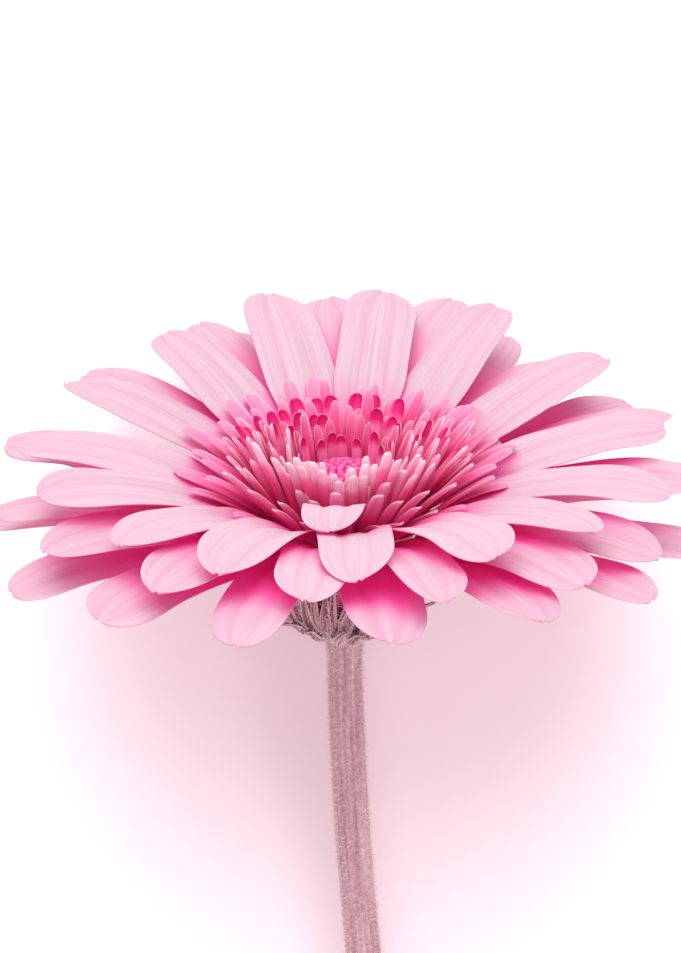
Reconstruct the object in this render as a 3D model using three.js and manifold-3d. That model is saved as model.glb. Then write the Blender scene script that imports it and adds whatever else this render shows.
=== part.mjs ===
// A cut gerbera that lies on a flat surface: the head is tipped up, its lowest ray florets and
// the cut end of the stem touch the surface. Millimetres, +Z up, the stem runs towards +Y.
import * as THREE from "three";
import { mergeVertices } from "three/addons/utils/BufferGeometryUtils.js";
import Module from "manifold-3d";

// The whole flower
const HEAD_TILT = 25; // degrees from the surface up to the head's axis
const HEAD_PRESS = 1; // how far the head's weight bends the ray florets that it rests on
const CONTACT = 0.05; // what is left under a floret that rests on the surface
const GAP = 0.3; // clearance between neighbouring pieces

// Stem
const STEM_LENGTH = 180;
const STEM_TOP_D = 5.6;
const STEM_CUT_D = 6.4;
const STEM_SWAY = 18; // how far the cut end stands aside of the head
const CUT_SLANT = 25; // degrees
const STEM_FLARE = 0.5; // how far the stem swells at the neck
const FLARE_SHARE = 0.03; // of the stem's length

// Involucre and receptacle: a bowl of elliptical profile
const BOWL_D = 28;
const BOWL_HEIGHT = 15.4;
const BOWL_RIM = -3.4; // height of the rim under the ray floret bases
const NECK_MARGIN = 0.4; // the neck's radius over the stem's
const RECEPTACLE_TOP = 3.2;
const DOME_FALL = 3.4; // from the middle of the receptacle to its edge
const CUP_WALL = 2.3; // from the bowl's surface in to the receptacle

// Ray florets: three whorls, from the lowest and longest to the highest and shortest. Their bases
// stand inset from the bowl's edge, and lift is what they rise more at the top and bottom.
const RAYS_PER_WHORL = 15;
const RAY_WIDTH = 11.8;
const RAY_THICKNESS = 0.5;
const CLAW_SHARE = 0.62; // of the room that each floret has where it starts
const WHORLS = [
  { name: "ray_outer", turn: 1, inset: 1.5, base: -2.2, length: 46, rise: 9, tip: -10, lift: 18.5 },
  { name: "ray_middle", turn: 10, inset: 1.9, base: -0.9, length: 45, rise: 19, tip: -10, lift: 14 },
  { name: "ray_inner", turn: 21, inset: 2.2, base: 0.4, length: 42, rise: 28.5, tip: -7, lift: 10 },
];
// One floret over the stem stayed small, and stands on the inner whorl.
const SMALL_RAY = { turn: 86, inset: 1.4, base: 2.4, length: 24, width: 9.6, rise: 58, tip: -30 };

// Rows of small florets that stand on the receptacle, inset from its edge. The florets over the
// stem stand more upright than their row, by lift degrees.
const ROWS = [
  { name: "ray_short", count: 22, inset: 0.7, length: 18, width: 3.8, rise: 44, tip: 34, lift: 24 },
  { name: "disc_outer", count: 24, inset: 2.2, length: 15, width: 2.6, rise: 56, tip: 54, lift: 12 },
  { name: "disc_middle", count: 20, inset: 3.6, length: 12.8, width: 2.3, rise: 65, tip: 68, lift: 4 },
  { name: "disc_inner", count: 14, inset: 4.9, length: 10.2, width: 1.9, rise: 75, tip: 80, lift: 0 },
];
const ROW_DEPTH = 0.9; // thickness of a small floret at its foot
const ROW_RING_WIDTH = 1;
const BUD_ZONE_INSET = 5.9;
const BUD_D = 2;
const BUD_COUNT = 27;
const BUD_TOP = 9.2;
const BUD_DOME = 3; // height of the dome that the buds stand on

const deg = THREE.MathUtils.degToRad;
const lerp = THREE.MathUtils.lerp;
const smooth = THREE.MathUtils.smoothstep;
const wasm = await Module();
wasm.setup();

// A fixed difference between one floret and the next, from -1 to 1.
const vary = (i, k) => {
  const x = Math.sin(i * 12.9898 + k * 78.233) * 43758.5453;
  return 2 * (x - Math.floor(x)) - 1;
};

// Box whose vertices are moved by place(s, v, side): s runs 0 to 1 along it, v -1 to 1 across.
const bent = (rows, columns, place) => {
  const geometry = new THREE.BoxGeometry(1, 1, 1, rows, columns, 1);
  const position = geometry.attributes.position;
  for (let i = 0; i < position.count; i++) {
    const [x, y, z] = [position.getX(i), position.getY(i), position.getZ(i)];
    position.setXYZ(i, ...place(x + 0.5, 2 * y, 2 * z).toArray());
  }
  geometry.computeVertexNormals();
  return geometry;
};

// Midline of a floret whose slope eases from rise to tip, as steps of [x, z, slope].
const MID_STEPS = 48;
const midline = ({ length, rise, tip }) => {
  const line = [[0, 0, deg(rise)]];
  for (let i = 1; i <= MID_STEPS; i++) {
    const slope = deg(lerp(rise, tip, ((i - 0.5) / MID_STEPS) ** 2));
    const [x, z] = line[i - 1];
    const step = length / MID_STEPS;
    line.push([x + step * Math.cos(slope), z + step * Math.sin(slope), slope]);
  }
  return (s) => {
    const at = Math.min(Math.max(s, 0), 1) * MID_STEPS;
    const i = Math.min(Math.floor(at), MID_STEPS - 1);
    return line[i].map((a, k) => lerp(a, line[i + 1][k], at - i));
  };
};

// Ray floret: a narrow channelled claw that widens to a flat blade with a blunt notched tip.
const rayBlade = (ray) => {
  const at = midline(ray);
  const radius = BOWL_D / 2 - ray.inset;
  const claw = (CLAW_SHARE * 2 * Math.PI * radius) / RAYS_PER_WHORL;
  return bent(8, 3, (u, v, side) => {
    const s = 1 - (1 - u) ** 1.35;
    const [x, z, slope] = at(s * (1 - 0.05 * v * v) - 0.012 * (s > 0.99) * (1 - Math.abs(v)));
    const round = Math.sqrt(1 - 0.88 * (Math.max(0, s - 0.76) / 0.24) ** 2);
    const half = (lerp(claw, ray.width, smooth(s, 0, 0.58)) / 2) * round;
    const roll = deg(ray.roll) * s;
    const hollow = half * lerp(0.42, ray.cup, smooth(s, 0, 0.7)) * v * v;
    const up = hollow * Math.cos(roll) + half * v * Math.sin(roll) + (side * RAY_THICKNESS) / 2;
    const across = half * v * Math.cos(roll) - hollow * Math.sin(roll) + ray.sway * s * s;
    return new THREE.Vector3(
      radius + x - up * Math.sin(slope),
      across,
      ray.base + z + up * Math.cos(slope),
    );
  });
};

// The head's own frame: +Z along its axis, out of the face. Turn 90 points away from the
// surface, over the stem; turn 270 points at the surface.
const head = new THREE.Group();
head.rotation.x = Math.PI / 2 - deg(HEAD_TILT);
head.updateMatrix();

// Florets over the stem droop at their tips, and those near the surface stand more forward.
const rays = WHORLS.flatMap((whorl, w) =>
  Array.from({ length: RAYS_PER_WHORL }, (_, i) => {
    const k = i + 1 + w * 20;
    const turn = whorl.turn + (i * 360) / RAYS_PER_WHORL + 1.3 * vary(k, 1);
    const over = Math.sin(deg(turn));
    return {
      ...whorl,
      turn,
      name: whorl.name + "_" + String(i + 1).padStart(2, "0"),
      length: whorl.length + 1.6 * vary(k, 2),
      width: RAY_WIDTH * (1 + 0.07 * vary(k, 3)),
      rise: whorl.rise + 1.2 * vary(k, 4) + whorl.lift * over * over,
      tip: whorl.tip + 5 * vary(k, 5) - 9 * over,
      roll: 8 * vary(k, 6),
      sway: 1.2 * vary(k, 7),
      cup: 0.08 * vary(k, 8),
    };
  }),
);

rays.push({ ...SMALL_RAY, name: "ray_small", roll: 5, sway: 0, cup: 0.06 });

// Height of a ray floret's lowest point.
const lowest = (ray) => {
  const place = new THREE.Matrix4().makeRotationZ(deg(ray.turn)).premultiply(head.matrix);
  const geometry = rayBlade(ray).applyMatrix4(place);
  geometry.computeBoundingBox();
  return geometry.boundingBox.min.z;
};

// The head rests on its lowest florets, which bend forward until they clear the surface.
head.position.z = -Math.min(...rays.map(lowest)) - HEAD_PRESS;
head.updateMatrix();

const addMesh = (parent, name, geometry, color, roughness) => {
  const material = new THREE.MeshStandardMaterial({ color, roughness, metalness: 0 });
  const mesh = new THREE.Mesh(geometry, material);
  mesh.name = name;
  parent.add(mesh);
  return mesh;
};

// A floret bends at least as far as those it lies on, and by small steps until it is clear.
const BEND_STEP = 0.2;
const REACH = 26; // degrees to either side in which one floret lies on another
const beside = (a, b) => Math.cos(deg(a.turn - b.turn)) > Math.cos(deg(REACH));
for (const [i, ray] of rays.entries()) {
  const under = rays.slice(0, i).filter((other) => other.base < ray.base && beside(other, ray));
  ray.bend = Math.max(0, ...under.map((other) => other.bend));
  [ray.rise, ray.tip] = [ray.rise + ray.bend, ray.tip + ray.bend];
  while (lowest(ray) < CONTACT) {
    ray.bend += BEND_STEP;
    ray.rise += BEND_STEP;
    ray.tip += BEND_STEP;
  }
  addMesh(head, ray.name, rayBlade(ray), "#f7bcd8", 0.6).rotation.z = deg(ray.turn);
}

// Solids that are joined into one closed body.
const solid = (geometry) => {
  const bare = new THREE.BufferGeometry();
  bare.setAttribute("position", geometry.attributes.position);
  bare.setIndex(geometry.index);
  const merged = mergeVertices(bare, 1e-3);
  return new wasm.Manifold(
    new wasm.Mesh({
      numProp: 3,
      vertProperties: merged.attributes.position.array,
      triVerts: new Uint32Array(merged.index.array),
    }),
  );
};

const joined = (geometries) => {
  const mesh = geometries.map(solid).reduce((all, piece) => all.add(piece)).getMesh();
  const geometry = new THREE.BufferGeometry();
  geometry.setAttribute("position", new THREE.BufferAttribute(mesh.vertProperties, 3));
  geometry.setIndex(new THREE.BufferAttribute(mesh.triVerts, 1));
  geometry.computeVertexNormals();
  return geometry;
};

// Body of revolution about the head's axis from a closed outline of [radius, height].
const turned = (outline, segments) => {
  const points = outline.map(([r, z]) => new THREE.Vector2(r, z));
  return new THREE.LatheGeometry(points, segments).rotateX(Math.PI / 2);
};

// Point on the bowl, from the neck at t = 0 to the rim at t = 1, moved out by a distance.
const NECK_R = STEM_TOP_D / 2 + NECK_MARGIN;
const bowl = (t, out) => {
  const [a, b] = [BOWL_D / 2 - NECK_R, BOWL_HEIGHT];
  const [sin, cos] = [Math.sin((t * Math.PI) / 2), Math.cos((t * Math.PI) / 2)];
  const steep = Math.hypot(b * sin, a * cos);
  return [
    NECK_R + a * sin + (out * b * sin) / steep,
    BOWL_RIM - b * cos - (out * a * cos) / steep,
  ];
};

// Height of the receptacle's domed top at a radius.
const RECEPTACLE_R = BOWL_D / 2 - WHORLS[2].inset - 2 * GAP;
const dome = (r) => RECEPTACLE_TOP - DOME_FALL * (r / RECEPTACLE_R) ** 2;

const receptacle = [[0, BOWL_RIM - BOWL_HEIGHT]];
for (let t = 0; t <= 0.85; t += 0.17) receptacle.push(bowl(t, -CUP_WALL));
receptacle.push([RECEPTACLE_R, BOWL_RIM]);
for (let r = RECEPTACLE_R; r > 1; r -= 2.2) receptacle.push([r, dome(r)]);
receptacle.push([0, RECEPTACLE_TOP]);
addMesh(head, "receptacle", turned(receptacle, 20), "#b98a93", 0.8);

// Bracts: pointed, ribbed scales that lie on the bowl, each whorl joined by a band at its foot.
// Each whorl runs from one place on the bowl to another and lies a distance out from it.
const BRACT_WHORLS = [
  { name: "bracts_upper", count: 18, width: 3.8, from: 0.3, to: 0.98, out: -1.0, curl: 0 },
  { name: "bracts_lower", count: 14, width: 3.2, from: 0.04, to: 0.66, out: 0.2, curl: 1.1 },
];
const BRACT_THICKNESS = 0.7;
for (const b of BRACT_WHORLS) {
  const bracts = [];
  for (let i = 0; i < b.count; i++) {
    const reach = 0.06 * vary(i, b.count);
    const blade = bent(4, 2, (s, v, side) => {
      const t = lerp(b.from, b.to + reach, s);
      const lift = b.curl * smooth(s, 0.6, 1) * (0.5 + 0.5 * vary(i, 3));
      const half = (b.width / 2) * (0.55 + 0.9 * s - 1.35 * s * s);
      const ridge = 0.25 * (1 - v * v);
      const [r, z] = bowl(t, b.out + lift + ridge + (side * BRACT_THICKNESS) / 2);
      const angle = 0.16 * s - (half * v) / r;
      return new THREE.Vector3(r * Math.cos(angle), r * Math.sin(angle), z);
    });
    bracts.push(blade.rotateZ((2 * Math.PI * (i + 0.2 * vary(i, 5))) / b.count));
  }
  const half = BRACT_THICKNESS / 2;
  const [t0, t1] = [b.from, b.from + 0.16];
  const band = [bowl(t0, b.out - half), bowl(t0, b.out + half)];
  band.push(bowl(t1, b.out + half), bowl(t1, b.out - half), band[0]);
  addMesh(head, b.name, joined([turned(band, b.count), ...bracts]), "#9a6672", 0.85);
}

// Small florets of the disc and the short inner rays: hollow-faced fingers with a pointed or
// rounded tip, each row joined at its foot by a ring that stands on the receptacle.
const fingerRow = ({ name, count, inset, length, width, rise, tip, lift }, r) => {
  const radius = RECEPTACLE_R - inset;
  const [inner, outer] = [radius - ROW_RING_WIDTH / 2, radius + ROW_RING_WIDTH / 2];
  const foot = dome(inner) + GAP;
  const fingers = [];
  for (let i = 0; i < count; i++) {
    const turn = (2 * Math.PI * (i + 0.5 * (r % 2) + 0.15 * vary(i, r))) / count;
    const more = lift * Math.max(0, Math.sin(turn)) ** 1.3;
    const longer = 1 + 0.08 * vary(i, r + 11);
    const at = midline({ length: length * longer, rise: rise + more, tip: tip + more });
    const finger = bent(3, 2, (s, v, side) => {
      const [x, z, slope] = at(s);
      const half = (width / 2) * (0.62 + 0.75 * s - 0.95 * s ** 3);
      const up = half * 0.6 * v * v + (side * ROW_DEPTH * (1 - 0.4 * s)) / 2;
      return new THREE.Vector3(
        radius + x - up * Math.sin(slope),
        half * v,
        foot + 0.5 + z + up * Math.cos(slope),
      );
    });
    fingers.push(finger.rotateZ(turn));
  }
  const ring = [[inner, foot], [outer, foot], [outer, foot + 1], [inner, foot + 1], [inner, foot]];
  addMesh(head, name, joined([turned(ring, 18), ...fingers]), "#ee5f9f", 0.55);
};
ROWS.forEach(fingerRow);

// Unopened florets at the middle: a low dome set with round buds in a sunflower spiral.
const BUD_ZONE_R = RECEPTACLE_R - BUD_ZONE_INSET;
const budZone = [[0, RECEPTACLE_TOP + GAP]];
budZone.push([BUD_ZONE_R - 0.3, dome(BUD_ZONE_R) + GAP + 0.3]);
for (let a = 0; a <= 90; a += 15) {
  const [sin, cos] = [Math.sin(deg(a)), Math.cos(deg(a))];
  budZone.push([(BUD_ZONE_R - 0.5) * cos, BUD_TOP - BUD_DOME - BUD_D / 2 + (BUD_DOME + 0.35) * sin]);
}
budZone.at(-1)[0] = 0;
const buds = [turned(budZone, 16)];
for (let i = 0; i < BUD_COUNT; i++) {
  const r = (BUD_ZONE_R - BUD_D / 2) * Math.sqrt((i + 0.5) / BUD_COUNT);
  const z = BUD_TOP - BUD_DOME - BUD_D / 2 + BUD_DOME * Math.sqrt(1 - (r / BUD_ZONE_R) ** 2);
  const turn = i * Math.PI * (3 - Math.sqrt(5));
  const bud = new THREE.SphereGeometry(BUD_D / 2, 6, 4).rotateX(Math.PI / 2);
  buds.push(bud.translate(r * Math.cos(turn), r * Math.sin(turn), z));
}
addMesh(head, "disc_buds", joined(buds), "#d33a80", 0.5);

// Stem: leaves the neck along the head's axis and eases down until the cut end lies flat.
const neck = new THREE.Vector3(0, 0, BOWL_RIM - BOWL_HEIGHT - GAP).applyMatrix4(head.matrix);
const back = new THREE.Vector3(0, 0, -1).transformDirection(head.matrix);
const drop = neck.z - STEM_CUT_D / 2 - CONTACT;
const run = Math.sqrt(STEM_LENGTH ** 2 - drop ** 2);
const cut = new THREE.Vector3(-STEM_SWAY, neck.y + run, STEM_CUT_D / 2 + CONTACT);
const stemLine = new THREE.CubicBezierCurve3(
  neck,
  neck.clone().addScaledVector(back, STEM_LENGTH / 3),
  cut.clone().add(new THREE.Vector3(STEM_SWAY / 3, -STEM_LENGTH / 3, 0)),
  cut,
);
const stem = new THREE.CylinderGeometry(1, 1, 1, 12, 24);
const ring = stem.attributes.position;
for (let i = 0; i < ring.count; i++) {
  const t = ring.getY(i) + 0.5;
  const along = stemLine.getTangent(t);
  const side = new THREE.Vector3(1, 0, 0).addScaledVector(along, -along.x).normalize();
  const up = new THREE.Vector3().crossVectors(side, along);
  const radius = lerp(STEM_TOP_D, STEM_CUT_D, t) / 2 + STEM_FLARE * (1 - smooth(t, 0, FLARE_SHARE));
  const [a, b] = [ring.getX(i) * radius, ring.getZ(i) * radius];
  const slant = t === 1 ? b * Math.tan(deg(CUT_SLANT)) : 0;
  const point = stemLine.getPoint(t).addScaledVector(side, a).addScaledVector(up, b);
  ring.setXYZ(i, ...point.addScaledVector(along, slant).toArray());
}
stem.computeVertexNormals();

const flower = new THREE.Group();
flower.add(head);
addMesh(flower, "stem", stem, "#b98e98", 0.75);

// The origin stands on the surface, at the middle of the flower's outline from above.
flower.updateMatrixWorld(true);
const outline = new THREE.Box3().setFromObject(flower, true);
flower.position.set(-(outline.min.x + outline.max.x) / 2, -(outline.min.y + outline.max.y) / 2, 0);
const root = new THREE.Group();
root.name = "cut_gerbera";
root.add(flower);

export default root;
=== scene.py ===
import math

import bpy
import numpy as np
from mathutils import Matrix, Vector


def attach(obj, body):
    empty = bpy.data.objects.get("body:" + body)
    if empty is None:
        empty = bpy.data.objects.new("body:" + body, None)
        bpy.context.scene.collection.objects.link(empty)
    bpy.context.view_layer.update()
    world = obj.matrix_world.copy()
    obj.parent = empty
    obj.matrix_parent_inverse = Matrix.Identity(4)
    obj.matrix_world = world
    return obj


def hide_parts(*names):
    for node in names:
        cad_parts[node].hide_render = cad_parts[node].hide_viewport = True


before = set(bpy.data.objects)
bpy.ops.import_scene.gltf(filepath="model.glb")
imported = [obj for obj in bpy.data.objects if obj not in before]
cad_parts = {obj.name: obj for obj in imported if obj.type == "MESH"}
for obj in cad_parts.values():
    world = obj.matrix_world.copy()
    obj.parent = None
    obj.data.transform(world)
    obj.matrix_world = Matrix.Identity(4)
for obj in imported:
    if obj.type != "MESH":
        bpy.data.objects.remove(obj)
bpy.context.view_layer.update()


# ---------------------------------------------------------------------------------------------
# Flower head: everything on it is made in millimetres in the head's own frame, with +Z out of
# the face. The head is tipped up from the surface by 25 degrees, and one matrix puts it there.
MM = 0.001
HEAD_TILT = math.radians(25)
HEAD_PLACE = Vector((-0.157, -78.619, 44.289))
in_head = (
    Matrix.Scale(MM, 4)
    @ Matrix.Translation(HEAD_PLACE)
    @ Matrix.Rotation(math.pi / 2 - HEAD_TILT, 4, "X")
)


def vary(i, k):
    """A fixed difference between one floret and the next, from -1 to 1."""
    x = math.sin(i * 12.9898 + k * 78.233) * 43758.5453
    return 2 * (x - math.floor(x)) - 1


def linear(hex_code, alpha=1.0):
    """An sRGB hex colour as the linear values that a node takes."""
    parts = [int(hex_code[i : i + 2], 16) / 255 for i in (1, 3, 5)]
    parts = [c / 12.92 if c <= 0.04045 else ((c + 0.055) / 1.055) ** 2.4 for c in parts]
    return (*parts, alpha)


def node(tree, kind, inputs=None, stops=(), **settings):
    """Adds a node, sets its properties and colour stops, and sets or links its inputs. A node
    that is given as an input is linked from the first output it has in use."""
    made = tree.nodes.new(kind)
    for key, value in settings.items():
        setattr(made, key, value)
    if stops:
        elements = made.color_ramp.elements
        while len(elements) < len(stops):
            elements.new(0.5)
        for element, (position, colour) in zip(elements, stops):
            element.position = position
            element.color = linear(colour)
    for key, value in (inputs or {}).items():
        if isinstance(value, bpy.types.Node):
            value = next(socket for socket in value.outputs if socket.enabled)
        if isinstance(value, bpy.types.NodeSocket):
            tree.links.new(value, made.inputs[key])
        else:
            made.inputs[key].default_value = value
    return made


def new_material(name):
    made = bpy.data.materials.new(name)
    made.use_nodes = True
    made.node_tree.nodes.clear()
    return made, made.node_tree


def off_middle(tree, across):
    """How far across a blade a point is from its midline: 0 there and 0.5 at either edge."""
    aside = node(tree, "ShaderNodeMath", {0: across, 1: 0.5}, operation="SUBTRACT")
    return node(tree, "ShaderNodeMath", {0: aside}, operation="ABSOLUTE")


def smooth(x, low, high):
    t = np.clip((x - low) / (high - low), 0, 1)
    return t * t * (3 - 2 * t)


def blade(name, rows, columns, place, tone=0.0, deep=0.0):
    """A closed leaf-like sheet. place(s, v, side) gives points in mm: s along, v across."""
    s, v = np.meshgrid(np.linspace(0, 1, rows + 1), np.linspace(-1, 1, columns + 1), indexing="ij")
    points = np.concatenate([np.stack(place(s, v, side), -1).reshape(-1, 3) for side in (1, -1)])
    half = s.size
    at = np.arange(half).reshape(s.shape)
    a, b, c, d = at[:-1, :-1], at[1:, :-1], at[1:, 1:], at[:-1, 1:]
    upper = np.stack([a, b, c, d], -1).reshape(-1, 4)
    faces = [upper, upper[:, ::-1] + half]
    loop = np.concatenate([at[:-1, 0], at[-1, :-1], at[:0:-1, -1], at[0, :0:-1]])
    after = np.roll(loop, -1)
    faces.append(np.stack([after, loop, loop + half, after + half], -1))
    mesh = bpy.data.meshes.new(name)
    mesh.from_pydata(points.tolist(), [], np.concatenate(faces).tolist())
    corner = np.empty(len(mesh.loops), int)
    mesh.loops.foreach_get("vertex_index", corner)
    flat = np.stack([(v.ravel() + 1) / 2, s.ravel()], -1)
    mesh.uv_layers.new(name="UVMap").data.foreach_set("uv", flat[corner % half].ravel())
    under = mesh.attributes.new("under", "FLOAT", "POINT")
    under.data.foreach_set("value", (np.arange(2 * half) >= half).astype(np.float32))
    # deep is how far out along a ray floret its painted shade reaches.
    for label, value in (("tone", tone), ("deep", deep)):
        same = mesh.attributes.new(label, "FLOAT", "POINT")
        same.data.foreach_set("value", np.full(2 * half, value, np.float32))
    mesh.shade_smooth()
    mesh.set_sharp_from_angle(angle=math.radians(60))
    return mesh


def midline(length, rise, tip, steps=200):
    """A centre line whose slope eases from rise to tip, read at any share of its length."""
    share = (np.arange(steps) + 0.5) / steps
    slope = np.radians(rise + (tip - rise) * share**2)
    x = np.concatenate([[0], np.cumsum(np.cos(slope))]) * length / steps
    z = np.concatenate([[0], np.cumsum(np.sin(slope))]) * length / steps
    grid = np.linspace(0, 1, steps + 1)

    def at(s):
        turn = np.radians(rise + (tip - rise) * np.clip(s, 0, 1) ** 2)
        return np.interp(s, grid, x), np.interp(s, grid, z), turn

    return at


# ---------------------------------------------------------------------------------------------
# Long ray florets: 45 soft straps in three whorls, and a small one. Each is a thin fleshy blade
# on the receptacle's edge, with a channelled claw, two long grooves and a round, notched tip.
BOWL_R = 14.0
PER_WHORL = 15
CLAW_SHARE = 0.80
PETAL_THICK = 0.34
CLAW_HOLLOW = 0.42
# The two grooves and the notch: shares of the half width, depths in mm and in share of length.
GROOVE_AT, GROOVE_WIDTH, GROOVE_DEPTH = 0.36, 0.13, 0.34
NOTCH_WIDTH, NOTCH_DEPTH = 0.42, 0.009
ROUND_FROM = 0.78
RIPPLE = 0.45
RAY_WIDTH = 11.8
CONTACT = 0.05
BEND_STEP = 0.2
REACH = math.cos(math.radians(26))
# deep: how far out the painted shade reaches along a whorl's florets over the stem.
WHORLS = [
    dict(name="outer", deep=0.40, turn=1, inset=1.5, base=-2.2, length=46, rise=9, tip=-10,
         lift=18.5),
    dict(name="middle", deep=0.28, turn=10, inset=1.9, base=-0.9, length=45, rise=19, tip=-10,
         lift=14),
    dict(name="inner", deep=0.12, turn=21, inset=2.2, base=0.4, length=42, rise=28.5, tip=-7,
         lift=10),
]
# One floret over the stem stayed small, and stands on the inner whorl.
SMALL_RAY = dict(
    name="small", deep=0.1, turn=86, inset=1.4, base=2.4, length=24, width=9.6, rise=58, tip=-30,
    roll=5, sway=0, cup=0.06, notch=0.1, k=70, number=1,
)


def petal(translucence):
    """Petal tissue: a waxy, cellular skin over thin watery flesh. It is pale where light falls on
    it, glows a deep pink where light comes through it, and has fine veins along its length.
    Painted shade turns it deep pink between crowded florets, along its grooves and further out
    on the lower whorls over the stem."""
    made, tree = new_material("petal tissue, veined and satin")
    uv = node(tree, "ShaderNodeUVMap", uv_map="UVMap")
    part = node(tree, "ShaderNodeSeparateXYZ", {"Vector": uv})
    across, along = part.outputs["X"], part.outputs["Y"]
    tone = node(tree, "ShaderNodeAttribute", attribute_name="tone").outputs["Fac"]
    under = node(tree, "ShaderNodeAttribute", attribute_name="under").outputs["Fac"]

    # Painted shade: florets of the lower whorls stay deep pink further out, most of all over the
    # stem, where the whorls above shade them.
    deep = node(tree, "ShaderNodeAttribute", attribute_name="deep").outputs["Fac"]
    place = node(tree, "ShaderNodeMath", {0: along, 1: deep}, operation="SUBTRACT")
    colour = node(
        tree, "ShaderNodeValToRGB", {"Fac": place},
        stops=[
            (0.0, "#ee249c"), (0.10, "#e44e9c"), (0.19, "#d09ab6"), (0.36, "#c5bbc7"),
            (1.0, "#c3b9c4"),
        ],
    )
    # Veins run along the blade about 0.4 mm apart, and wander a little.
    streak = node(tree, "ShaderNodeCombineXYZ", {"X": across, "Y": along, "Z": tone})
    stretched = node(tree, "ShaderNodeMapping", {"Vector": streak, "Scale": (27.0, 1.6, 9.0)})
    vein = node(
        tree,
        "ShaderNodeTexNoise",
        {"Vector": stretched, "Scale": 1.0, "Detail": 2.0, "Roughness": 0.55},
    )
    veined = node(
        tree, "ShaderNodeValToRGB", {"Fac": vein},
        stops=[(0.32, "#c6b2bc"), (0.62, "#ffffff")],
    )
    colour = node(
        tree, "ShaderNodeMix", {"Factor": 0.30, 6: colour, 7: veined}, data_type="RGBA",
        blend_type="MULTIPLY",
    )
    # Two grooves run the length of the blade, with painted shade in them: a little deeper pink.
    middle = off_middle(tree, across)
    aside = node(tree, "ShaderNodeMath", {0: middle, 1: GROOVE_AT / 2}, operation="SUBTRACT")
    aside = node(tree, "ShaderNodeMath", {0: aside}, operation="ABSOLUTE")
    groove = node(
        tree, "ShaderNodeMapRange",
        {"Value": aside, "From Min": 0.0, "From Max": 0.06, "To Min": 0.22, "To Max": 0.0},
    )
    colour = node(
        tree, "ShaderNodeMix", {"Factor": groove, 6: colour, 7: linear("#d47a9e")}, data_type="RGBA"
    )
    # The underside is a little deeper and duller.
    colour = node(
        tree, "ShaderNodeMix",
        {"Factor": node(tree, "ShaderNodeMath", {0: under, 1: 0.35}, operation="MULTIPLY"),
         6: colour, 7: linear("#dc5a9a")},
        data_type="RGBA",
    )
    # Painted shade: between crowded florets, where they shade each other and what light there is
    # has passed through several of them, the colour is mixed to deep pink.
    crowd = node(tree, "ShaderNodeAmbientOcclusion", {"Distance": 0.014}, samples=6)
    painted_shade = node(
        tree, "ShaderNodeMapRange",
        {"Value": crowd.outputs["AO"], "From Min": 0.12, "From Max": 0.62, "To Min": 0.95,
         "To Max": 0.0},
    )
    colour = node(
        tree, "ShaderNodeMix", {"Factor": painted_shade, 6: colour, 7: linear("#fb40ba")}, data_type="RGBA"
    )
    through = node(
        tree, "ShaderNodeMix", {"Factor": 0.8, 6: colour, 7: linear("#fd44c2")}, data_type="RGBA"
    )

    fine = node(tree, "ShaderNodeBump", {"Height": vein, "Strength": 0.35, "Distance": 0.00012})
    skin = node(
        tree,
        "ShaderNodeBsdfPrincipled",
        {
            "Base Color": colour,
            "Roughness": 0.52,
            "Specular IOR Level": 0.35,
            "Sheen Weight": 0.15,
            "Normal": fine,
        },
    )
    glow = node(tree, "ShaderNodeBsdfTranslucent", {"Color": through})
    mixed = node(tree, "ShaderNodeMixShader", {"Fac": translucence, 1: skin, 2: glow})
    node(tree, "ShaderNodeOutputMaterial", {"Surface": mixed})
    return made


def ray_blade(ray):
    """Returns the function that places a long ray floret's points."""
    at = midline(ray["length"], ray["rise"], ray["tip"])
    radius = BOWL_R - ray["inset"]
    claw = CLAW_SHARE * 2 * math.pi * radius / PER_WHORL
    k = ray["k"]

    def place(u, v, side):
        s = 1 - (1 - u) ** 1.35
        tooth = NOTCH_DEPTH * np.exp(-(((v - ray["notch"]) / NOTCH_WIDTH) ** 2))
        shorter = 0.006 * v**2 + tooth * smooth(s, 0.9, 1.0)
        x, z, slope = at(s * (1 - shorter))
        rounding = np.clip(s - ROUND_FROM, 0, None) / (1 - ROUND_FROM)
        round_end = np.sqrt(1 - 0.95 * rounding**2.5)
        half = (claw + (ray["width"] - claw) * smooth(s, 0, 0.50)) / 2 * round_end
        roll = np.radians(ray["roll"]) * s
        cup = CLAW_HOLLOW + (ray["cup"] - CLAW_HOLLOW) * smooth(s, 0, 0.7)
        hollow = half * cup * v**2
        dip = np.exp(-(((np.abs(v) - GROOVE_AT) / GROOVE_WIDTH) ** 2))
        groove = -GROOVE_DEPTH * dip * smooth(s, 0.02, 0.3)
        wave = np.sin(9 * s + 60 * ray["cup"] + 2 * v + k)
        ripple = RIPPLE * smooth(s, 0.3, 1) * v**2 * wave
        thick = PETAL_THICK * (1 - 0.55 * v**6) * (1 - 0.4 * smooth(s, 0.8, 1))
        up = hollow * np.cos(roll) + half * v * np.sin(roll) + groove + ripple + side * thick / 2
        y = half * v * np.cos(roll) - hollow * np.sin(roll) + ray["sway"] * s**2
        return radius + x - up * np.sin(slope), y, ray["base"] + z + up * np.cos(slope)

    return place


def lowest(ray):
    """Height of a floret's lowest point above the surface, in mm."""
    turned = in_head @ Matrix.Rotation(math.radians(ray["turn"]), 4, "Z")
    s, v = np.meshgrid(np.linspace(0, 1, 41), np.linspace(-1, 1, 15), indexing="ij")
    x, y, z = ray_blade(ray)(s, v, -1)
    row = turned[2]
    return float(np.min(row[0] * x + row[1] * y + row[2] * z + row[3])) / MM


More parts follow.
